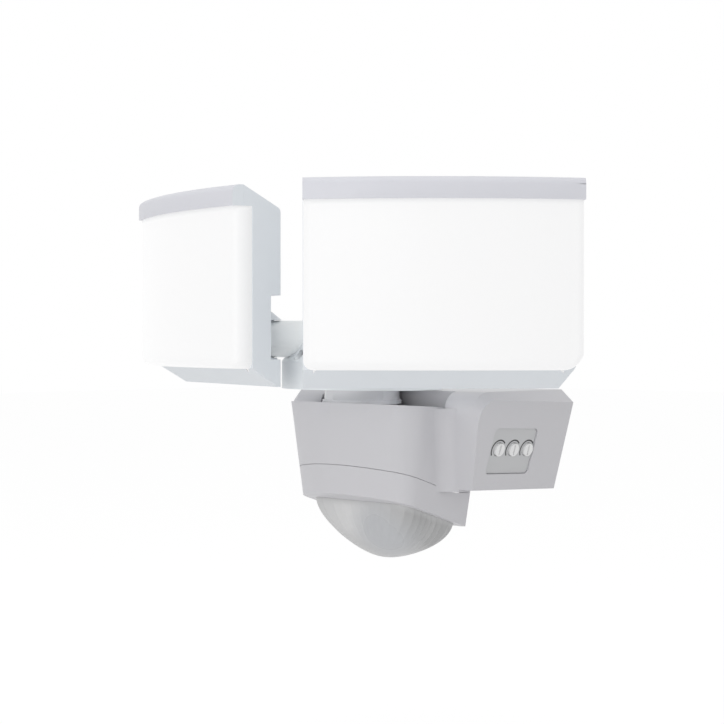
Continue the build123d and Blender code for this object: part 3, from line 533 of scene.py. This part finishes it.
def add_dome(lamp, material):
    """Fluted sensor dome.

    At each turn round the dome the rim's distance from the middle is that of a rounded
    rectangle, (|cos/width|^n + |sin/depth|^n)^(-1/n).  n falls from 8 at the rim to 2 at the
    tip.  Going down, the outline shrinks by cos^(2/p) while the depth grows by sin^(2/p),
    with p the fullness, and the outlines' middles lean a little forward.  Each flute draws the
    surface in by a half sine across its strip.  A short skirt stands on the rim, inside the
    bezel.
    """
    columns = COLUMNS_PER_STRIP * lamp.facets
    rise = np.linspace(0, math.pi / 2 - 0.02, DOME_ROWS)[:, None]
    share = np.cos(rise) ** (2 / DOME_FULLNESS)
    drop = np.sin(rise) ** (2 / DOME_FULLNESS)
    power = 2 + 6 * (1 - drop) ** 1.5
    step = np.linspace(0, 2 * math.pi, columns, endpoint=False)[None, :]
    turn = np.arctan2(DOME_HALF_DEPTH * np.sin(step), DOME_HALF_WIDTH * np.cos(step))
    reach = (
        np.abs(np.cos(turn) / DOME_HALF_WIDTH) ** power
        + np.abs(np.sin(turn) / DOME_HALF_DEPTH) ** power
    ) ** (-1 / power)
    strip = step * lamp.facets / (2 * math.pi)
    starts_and_ends = np.clip(drop * 8, 0, 1) * np.clip(3 - 3.6 * drop, 0, 1)
    flute = np.abs(np.sin(math.pi * strip)) * starts_and_ends
    reach = reach * share - lamp.facet_depth * flute * share ** 0.3
    normal = np.array([0, -DOME_SLOPE, -1]) / math.hypot(1, DOME_SLOPE)
    skirt = np.linspace(-DOME_SKIRT, -DOME_SKIRT / 4, SKIRT_ROWS)[:, None] * normal
    cap = drop * DOME_HEIGHT * np.array([0, -DOME_LEAN, -1])
    down = np.concatenate([skirt, cap])[:, None, :]
    reach = np.concatenate([np.repeat(reach[:1], SKIRT_ROWS, axis=0), reach])
    forward = np.array([0, -1, DOME_SLOPE]) / math.hypot(1, DOME_SLOPE)
    across = np.array([1.0, 0, 0])
    points = (
        DOME_MIDDLE
        + (reach * np.cos(turn))[..., None] * across
        + (reach * np.sin(turn))[..., None] * forward
        + down
    )
    mesh = grid_mesh("sensor_dome", points, close_across=True)
    close_last_row(mesh, columns)
    turned_outward(mesh, DOME_MIDDLE)
    # painted light and shade: each strip of the dome gets its own lit or shaded tone
    shade_strips(mesh, strip, flute)
    piece = thicken(add_piece("sensor_dome", mesh, FIXED, material, sharp=60.0), DOME_SKIN)
    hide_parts("sensor_lens")
    return piece


def close_last_row(mesh, columns):
    """Closes the small hole that a grid leaves at its last row."""
    shape = bmesh.new()
    shape.from_mesh(mesh)
    shape.verts.ensure_lookup_table()
    shape.faces.new(shape.verts[len(shape.verts) - columns :])
    shape.to_mesh(mesh)
    shape.free()


def shade_strips(mesh, strip, flute):
    """Stores the painted light and shade of each strip, from -0.5 to 0.5.

    Every strip has its own tone, a sine of its number, which stands in for how its facet catches
    the light and fades where the flute does.
    """
    tone = 0.5 * np.sin(STRIP_STEP * np.floor(strip) + STRIP_START)
    strength = np.concatenate([np.zeros((SKIRT_ROWS, 1)), flute.max(axis=1, keepdims=True)])
    values = tone * strength
    attribute = mesh.attributes.new("strip", "FLOAT", "POINT")
    attribute.data.foreach_set("value", values.astype(np.float32).ravel())


def add_lamp_face(side, lamp, material):
    """Soft-edged opal face of one head.

    Its plan runs from the back along one short side, round a corner, across a shallow arc,
    round the other corner and back.  That plan is carried down from the visor; over the last
    stretch it shrinks on a quarter circle, so the lower edge is round.  The outer side moves
    in along the straight cut of the head's lower corner.
    """
    soft = lamp.edge
    straight = np.linspace(FACE_HIGH, FACE_LOW + soft, FACE_ROWS)
    turn = np.linspace(0, math.pi / 2, EDGE_ROWS)[1:]
    height = np.concatenate([straight, FACE_LOW + soft - soft * np.sin(turn)])[:, None]
    inset = np.concatenate([np.zeros(FACE_ROWS), soft * (1 - np.cos(turn))])[:, None]
    below_cut = np.clip(HEAD_LOW + CORNER_CUT_HEIGHT - height, 0, None)
    outer = FACE_OUTER - below_cut * CORNER_CUT_WIDTH / CORNER_CUT_HEIGHT - inset
    inner = FACE_INNER + inset
    corner = np.linspace(0, math.pi / 2, CORNER_COLUMNS)[None, :]
    span = np.linspace(0, 1, FRONT_COLUMNS)[None, 1:-1]
    middle = (FACE_INNER + FACE_OUTER) / 2
    half = (FACE_OUTER - FACE_INNER) / 2

    def arc(x):
        return FACE_FRONT + inset - FACE_BOW * (1 - ((x - middle) / half) ** 2)

    start = arc(inner + soft) + soft
    finish = arc(outer - soft) + soft
    side_back = np.full_like(inner, FACE_BACK)
    left = inner + soft * (1 - np.cos(corner))
    right = outer - soft * (1 - np.sin(corner))
    front = inner + soft + span * (outer - inner - 2 * soft)
    x = np.concatenate([inner, left, front, right, outer], axis=1)
    left_corner = start - soft * np.sin(corner)
    right_corner = finish - soft * np.cos(corner)
    y = np.concatenate([side_back, left_corner, arc(front), right_corner, side_back], axis=1)
    floor_x, floor_y = x[-1:], np.full_like(y[-1:], FACE_BACK)
    x = np.concatenate([x, floor_x])
    y = np.concatenate([y, floor_y])
    z = np.concatenate([height, height[-1:]])
    pin, outward, back = head_axes(side)
    points = (
        pin
        + x[..., None] * outward
        + y[..., None] * back
        + np.broadcast_to(z, x.shape)[..., None] * np.array([0, 0, 1.0])
    )
    inside = pin + middle * outward + FACE_BACK * back
    mesh = turned_outward(grid_mesh(f"{side}_lamp_face", points), inside)
    piece = add_piece(f"{side}_lamp_face", mesh, f"{side}_head", material, sharp=50.0)
    thicken(piece, FACE_SKIN)
    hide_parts(f"{side}_diffuser")
    return piece


def centre(node):
    """Middle of a CAD node's box."""
    low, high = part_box(node)
    return (low + high) / 2


def dress(pieces, edge=0.0, flat=FLAT_ANGLE):
    """Finishes CAD nodes that keep their form; pieces maps each node to its material."""
    for node, material in pieces.items():
        finished_copy(node, frame["nodes"][node]["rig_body"], material, edge, flat)


def colour_ends(piece, axis, material):
    """Gives the flat faces that look along an axis, either way, a material of their own; used as
    painted light, so a part's ends are lighter than its front.
    """
    mesh = piece.data
    mesh.materials.append(material)
    normals = np.zeros(len(mesh.polygons) * 3)
    mesh.polygons.foreach_get("normal", normals)
    ends = np.abs(normals.reshape(-1, 3) @ axis) > END_FACING
    mesh.polygons.foreach_set("material_index", ends.astype(np.int32))


class SENSORLIGHT_OT_housing(bpy.types.Operator):
    """Dress the wall box, the sensor bezel and what fixes them to the wall"""

    bl_idname = "sensor_light.housing"
    bl_label = "Housing"

    def execute(self, context):
        body = settings()
        # the housing colour is painted darker, as shade on the white plastic
        white = moulded("housing_plastic", body.plastic, 0.42)
        dress({"housing_shell": white, "sensor_bezel": white}, body.edge)
        add_shoulder_blends(white, body.blend_radius)
        steel = metal("plated_steel", (0.62, 0.62, 0.64), 0.32)
        rubber = moulded("grommet_rubber", (0.02, 0.02, 0.022), 0.7, 0.05)
        terminal = moulded("terminal_plastic", (0.08, 0.09, 0.10), 0.35)
        dress({"wall_plate": white, "cable_grommet": rubber, "terminal_block": terminal,
               "housing_screws": steel})
        return {"FINISHED"}


class SENSORLIGHT_OT_electronics(bpy.types.Operator):
    """Dress the boards and the components inside the housing"""

    bl_idname = "sensor_light.electronics"
    bl_label = "Electronics"

    def execute(self, context):
        board = laminate("circuit_board", (0.03, 0.14, 0.06))
        dark = moulded("component_plastic", (0.03, 0.04, 0.08), 0.35)
        can = metal("sensor_can", (0.7, 0.62, 0.4), 0.3)
        dress({"driver_board": board, "driver_parts": dark, "sensor_board": board,
               "control_board": board, "trim_pots": dark, "pir_sensor": can})
        return {"FINISHED"}


class SENSORLIGHT_OT_lens(bpy.types.Operator):
    """Add the faceted sensor dome"""

    bl_idname = "sensor_light.lens"
    bl_label = "Sensor lens"

    def execute(self, context):
        lamp = lamp_settings()
        low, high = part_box("sensor_lens")
        corner = Vector(((low.x + high.x) / 2, low.y, low.z))
        window = corner + Vector(WINDOW_FROM_CORNER)
        dome = milky("lens_plastic", lamp.lens, lamp.lens_window, window, WINDOW_RADIUS)
        add_dome(lamp, dome)
        return {"FINISHED"}


class SENSORLIGHT_OT_dials(bpy.types.Operator):
    """Dress the dial panel and its three dials, and print plain marks round them"""

    bl_idname = "sensor_light.dials"
    bl_label = "Dials"

    def execute(self, context):
        body = settings()
        panel = moulded("panel_plastic", body.panel, 0.55)
        dial = moulded("dial_plastic", body.dial, 0.3)
        dress({"control_panel": panel}, 0.2 * MM)
        dress({"time_knob": dial, "sensitivity_knob": dial, "lux_knob": dial}, 0.35 * MM, flat=0)
        add_dial_marks(body)
        return {"FINISHED"}


class SENSORLIGHT_OT_carrier(bpy.types.Operator):
    """Dress the neck, the carrier and the two arms"""

    bl_idname = "sensor_light.carrier"
    bl_label = "Carrier and arms"

    def execute(self, context):
        body = settings()
        # the carrier, neck and arm colours are painted lighter, as light on the white plastic
        bright = moulded("carrier_plastic", body.carrier, 0.42)
        neck = moulded("neck_plastic", body.neck, 0.16, 0.004)
        steel = metal("dark_screw_steel", (0.10, 0.10, 0.11), 0.4)
        dress({"carrier_shell": bright, "carrier_base": bright}, body.edge)
        arm = moulded("arm_plastic", body.arm, 0.42)
        dress({"left_arm": arm, "right_arm": arm, "neck_nut": bright, "neck": neck,
               "clamp_screws": steel, "carrier_screws": steel})
        return {"FINISHED"}


class SENSORLIGHT_OT_heads(bpy.types.Operator):
    """Dress both lamp heads with their knuckles"""

    bl_idname = "sensor_light.heads"
    bl_label = "Lamp heads"

    def execute(self, context):
        body = settings()
        lamp = lamp_settings()
        # the shell colour is painted lighter and the visor colour darker, as light and shade on
        # the white plastic
        shell = moulded("shell_plastic", body.bright, 0.42)
        visor = moulded("visor_plastic", body.visor, 0.4)
        face = opal("opal_plastic", lamp.diffuser, lamp.glow)
        steel = metal("head_screw_steel", (0.62, 0.62, 0.64), 0.32)
        aluminium = metal("rolled_aluminium", (0.8, 0.8, 0.82), 0.38)
        board = laminate("lamp_board", (0.75, 0.75, 0.74))
        phosphor = moulded("led_phosphor", (0.9, 0.72, 0.2), 0.35)
        for side in SIDES:
            dress({f"{side}_rear_shell": shell}, body.edge)
            bar = finished_copy(f"{side}_visor", f"{side}_head", visor, body.edge)
            # painted light: the visor's ends get the lighter shell colour and its front the darker
            # visor colour
            colour_ends(bar, head_axes(side)[1], shell)
            add_lamp_face(side, lamp, face)
            dress({f"{side}_swivel": shell, f"{side}_pan_pin": shell}, 0.3 * MM)
            dress({f"{side}_tilt_pin": steel, f"{side}_head_screws": steel,
                   f"{side}_led_board": board, f"{side}_heat_spreader": aluminium,
                   f"{side}_led_chips": phosphor})
        return {"FINISHED"}


def add_shoulder_blends(material, radius):
    """Concave fillets between the bowl's sides and the wall box's front.

    Each is a quarter of a circle, seen from above, carried down the edge where the two meet.
    The circle's middle stands one radius out from both faces, so the surface runs into them
    tangentially.  The edge leans with the bowl's draft and with the box's front.
    """
    heights = np.linspace(RIM_HEIGHT, BLEND_LOW, 24)[:, None]
    turns = np.linspace(0.0, math.pi / 2, 13)[None, :]
    bowl_x = BOWL_HALF_WIDTH - (RIM_HEIGHT - heights) * BOWL_DRAFT
    front_y = (LEAN_HEIGHT - heights) * FRONT_LEAN - BOX_DEPTH
    across = bowl_x + radius - radius * np.cos(turns)
    away = front_y - radius + radius * np.sin(turns)
    for side, sign in (("left", -1), ("right", 1)):
        points = np.stack([sign * across, away, np.broadcast_to(heights, across.shape)], axis=-1)
        if sign > 0:
            points = points[:, ::-1]
        mesh = grid_mesh(f"{side}_shoulder_blend", points)
        piece = add_piece(f"{side}_shoulder_blend", mesh, FIXED, material)


def add_dial_marks(body):
    """Plain printed arc round each dial.

    In the panel's own plane an arc is all points at one radius between two turns; the band
    between two radii is a grid over radius and turn.
    """
    outward = Vector(joint("time_turn")["axis"])
    along = Vector((0, 1, -BOX_RISE)).normalized()
    upward = outward.cross(along)
    ink = moulded("panel_ink", body.mark, 0.5)
    turns = np.radians(np.linspace(*MARK_TURNS, MARK_COLUMNS))[None, :]
    radii = (body.mark_radius + np.array([-0.5, 0.5]) * body.mark_width)[:, None]
    for dial in ("time_knob", "sensitivity_knob", "lux_knob"):
        middle = dial_middle(dial, outward)
        right = radii * np.cos(turns)
        rise = radii * np.sin(turns)
        points = (
            np.array(middle)
            + right[..., None] * np.array(along)
            + rise[..., None] * np.array(upward)
        )
        mesh = grid_mesh(f"{dial}_marks", points)
        piece = add_piece(f"{dial}_marks", mesh, FIXED, ink)


def dial_middle(dial, outward):
    """Point at a dial's middle, just above the panel's surface."""
    panel = np.array([vertex.co for vertex in frame["nodes"]["control_panel"].data.vertices])
    surface = (panel @ np.array(outward)).max() + MARK_LIFT
    middle = centre(dial)
    return middle + outward * (surface - middle.dot(outward))


class SENSORLIGHT_OT_stage(bpy.types.Operator):
    """Add the floor, the lights and the camera"""

    bl_idname = "sensor_light.stage"
    bl_label = "Add the studio"

    def execute(self, context):
        stage = context.scene.sensor_light_stage
        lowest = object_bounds()[0][2]
        corners = FLOOR_REACH * np.array([[-1, -1], [1, -1], [1, 1], [-1, 1]])
        heights = np.full((4, 1), lowest - stage.floor_drop)
        mesh = bpy.data.meshes.new("floor")
        mesh.from_pydata(np.hstack([corners, heights]).tolist(), [], [(0, 1, 2, 3)])
        floor = bpy.data.objects.new("floor", mesh)
        context.scene.collection.objects.link(floor)
        mesh.materials.append(backdrop())
        floor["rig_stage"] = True
        sky(stage.sky)
        context.scene.view_settings.view_transform = "Standard"
        middle = (0, -0.1, 0)
        soft_light("top_light", (0.1, -0.5, 1.3), middle, 1.4, stage.key_power)
        soft_light("front_light", (0.5, -1.4, 0.15), middle, 0.9, stage.fill_power)
        place, target = (0.036, -0.106, 0.0275), (0.056, -0.08, 0.0275)
        gap = soft_light("gap_light", place, target, 0.008, stage.gap_power)
        gap.visible_glossy = False
        camera()
        return {"FINISHED"}


def backdrop():
    """Pale floor: white to the eye and in reflections, with a faint shadow of the object."""
    finish = Finish("pale_floor")
    cloud = finish.mix(finish.noise(3.0), (0.93, 0.93, 0.93, 1), (0.96, 0.96, 0.96, 1))
    finish.feed(finish.shader.inputs["Base Color"], cloud)
    finish.set(Roughness=0.9)
    white = finish.node("ShaderNodeEmission", {}, {"Color": WHITE, "Strength": FLOOR_WHITE})
    finish.show(
        finish.seen() * FLOOR_SHOWN, finish.shader.outputs[0], white.outputs[0], "Material Output"
    )
    return finish.material


def sky(strength):
    """Even white world: full white where it is seen, softer where it lights."""
    finish = Finish("studio", bpy.data.worlds)
    bpy.context.scene.world = finish.material
    finish.set(Color=WHITE, Strength=strength)
    seen = finish.node("ShaderNodeBackground", {}, {"Color": WHITE, "Strength": 1.0})
    finish.show(finish.seen(), finish.shader.outputs[0], seen.outputs[0], "World Output")


def soft_light(name, place, target, size, power):
    """Square area lamp that faces a point."""
    lamp = bpy.data.lights.new(name, "AREA")
    lamp.size = size
    lamp.energy = power
    lamp_object = bpy.data.objects.new(name, lamp)
    bpy.context.scene.collection.objects.link(lamp_object)
    lamp_object.location = place
    aim = Vector(target) - Vector(place)
    lamp_object.rotation_euler = aim.to_track_quat("-Z", "Y").to_euler()
    return lamp_object


def camera():
    """Camera level with the arms, half way round to the dials' side."""
    stage = bpy.context.scene.sensor_light_stage
    lens = bpy.data.cameras.new("camera")
    lens.lens = stage.lens_length
    lens.sensor_width = 36
    lens.clip_start = 0.01
    view = bpy.data.objects.new("camera", lens)
    bpy.context.scene.collection.objects.link(view)
    view.location = CAMERA_PLACE
    view.rotation_euler = (math.radians(90 - CAMERA_DIP), 0, math.radians(CAMERA_ROUND))
    bpy.context.scene.camera = view


class SENSORLIGHT_PT_panel(bpy.types.Panel):
    bl_idname = "SENSORLIGHT_PT_panel"
    bl_label = "Sensor Light"
    bl_space_type = "VIEW_3D"
    bl_region_type = "UI"
    bl_category = "Sensor Light"

    def draw(self, context):
        for operator in OPERATORS:
            self.layout.operator(operator.bl_idname)


GROUPS = {
    "sensor_light_body": SensorLightBody,
    "sensor_light_lamp": SensorLightLamp,
    "sensor_light_stage": SensorLightStage,
}
OPERATORS = (
    SENSORLIGHT_OT_housing,
    SENSORLIGHT_OT_electronics,
    SENSORLIGHT_OT_lens,
    SENSORLIGHT_OT_dials,
    SENSORLIGHT_OT_carrier,
    SENSORLIGHT_OT_heads,
    SENSORLIGHT_OT_stage,
)


def register():
    for group in (*GROUPS.values(), *OPERATORS, SENSORLIGHT_PT_panel):
        bpy.utils.register_class(group)
    for name, group in GROUPS.items():
        setattr(bpy.types.Scene, name, PointerProperty(type=group))


def unregister():
    for name in GROUPS:
        delattr(bpy.types.Scene, name)
    for group in reversed((*GROUPS.values(), *OPERATORS, SENSORLIGHT_PT_panel)):
        bpy.utils.unregister_class(group)


def main():
    register()
    for operator in OPERATORS:
        family, action = operator.bl_idname.split(".")
        getattr(getattr(bpy.ops, family), action)()


if __name__ == "__main__":
    main()
